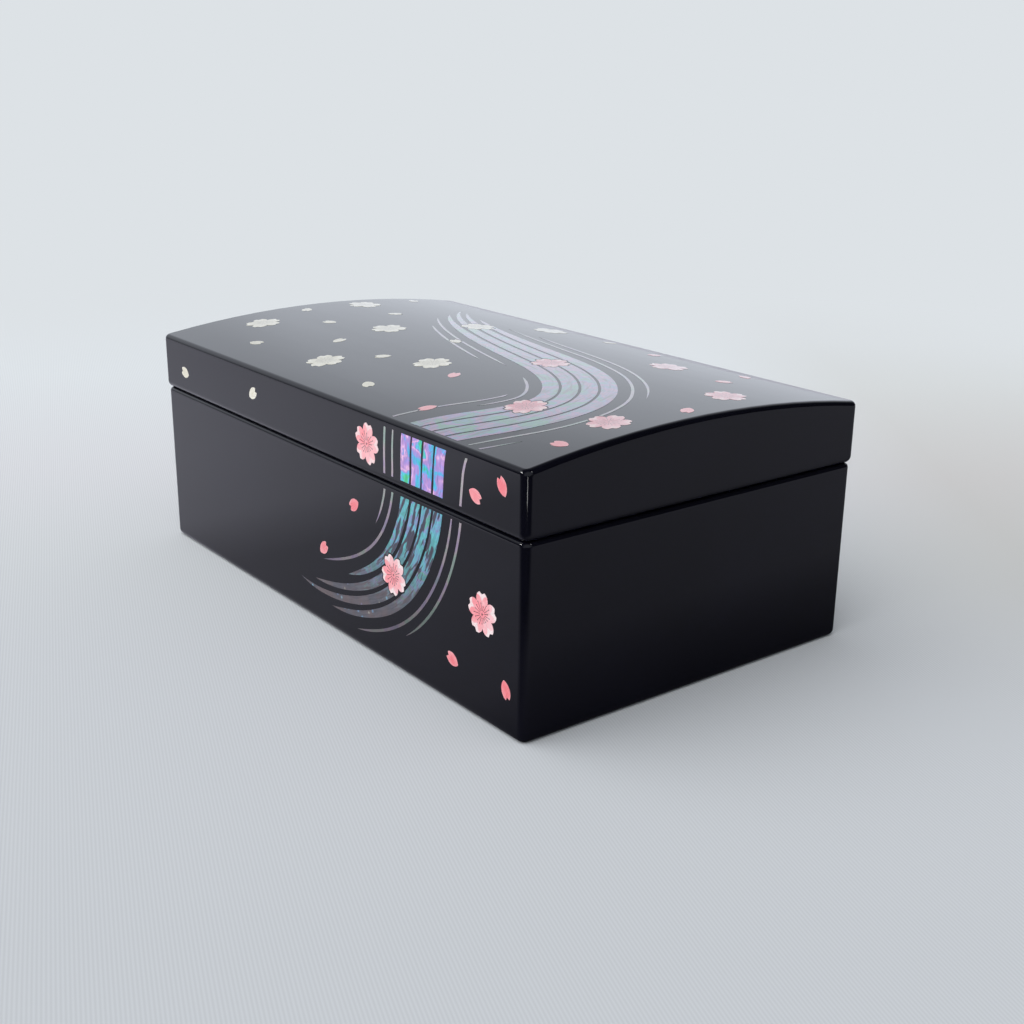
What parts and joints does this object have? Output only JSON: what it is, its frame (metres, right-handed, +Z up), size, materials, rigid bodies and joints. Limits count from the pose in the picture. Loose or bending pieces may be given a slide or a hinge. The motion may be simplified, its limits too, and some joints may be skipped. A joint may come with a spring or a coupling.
{
  "type": "lacquer box",
  "caption": "Oblong black lacquered wooden box with a low domed lift-off lid, rounded edges and mother-of-pearl stream and blossom inlay; holds small keepsakes.",
  "frame": {"origin": "centre of the box's footprint, on the surface that it stands on", "axes": "+X along the box's long side, +Y from the decorated front to the back, +Z up"},
  "size_m": [0.2008, 0.1203, 0.0768],
  "materials": {
    "black_lacquer": "polished black lacquer",
    "inner_lacquer": "satin black lacquer",
    "bare_wood": "bare, glued",
    "velvet": "short velvet pile over card",
    "abalone_shell": "polished iridescent abalone",
    "silver_shell": "polished grey-violet shell",
    "pink_shell": "polished pink-tinted shell",
    "cream_shell": "polished cream shell"
  },
  "bodies": {
    "body": {"body_back_board": "black_lacquer", "body_floor_board": "black_lacquer", "body_front_board": "black_lacquer", "body_left_board": "black_lacquer", "body_mitre_keys": "bare_wood", "body_pink_blossoms": "pink_shell", "body_pink_petals": "pink_shell", "body_right_board": "black_lacquer", "body_ripples": "silver_shell", "body_stream_ribbon_1": "abalone_shell", "body_stream_ribbon_2": "abalone_shell", "body_stream_ribbon_3": "abalone_shell", "body_stream_ribbon_4": "abalone_shell", "floor_pad": "velvet", "lip_back_strip": "inner_lacquer", "lip_front_strip": "inner_lacquer", "lip_left_strip": "inner_lacquer", "lip_right_strip": "inner_lacquer"},
    "lid": {"lid_back_board": "black_lacquer", "lid_front_board": "black_lacquer", "lid_front_cream_petals": "cream_shell", "lid_front_pink_blossoms": "pink_shell", "lid_front_pink_petals": "pink_shell", "lid_front_ripples": "silver_shell", "lid_front_stream_ribbon_1": "abalone_shell", "lid_front_stream_ribbon_2": "abalone_shell", "lid_front_stream_ribbon_3": "abalone_shell", "lid_front_stream_ribbon_4": "abalone_shell", "lid_left_board": "black_lacquer", "lid_mitre_keys": "bare_wood", "lid_right_board": "black_lacquer", "lid_top_board": "black_lacquer", "lid_top_cream_blossoms": "cream_shell", "lid_top_cream_petals": "cream_shell", "lid_top_pink_blossoms": "pink_shell", "lid_top_pink_petals": "pink_shell", "lid_top_ripples": "silver_shell", "lid_top_stream_ribbon_1": "abalone_shell", "lid_top_stream_ribbon_2": "abalone_shell", "lid_top_stream_ribbon_3": "abalone_shell", "lid_top_stream_ribbon_4": "abalone_shell"}
  },
  "joints": [
    {"name": "lid_lift", "type": "slide", "parent": "body", "child": "lid", "axis": [0, 0, 1], "range_m": [0, 0.07]}
  ]
}
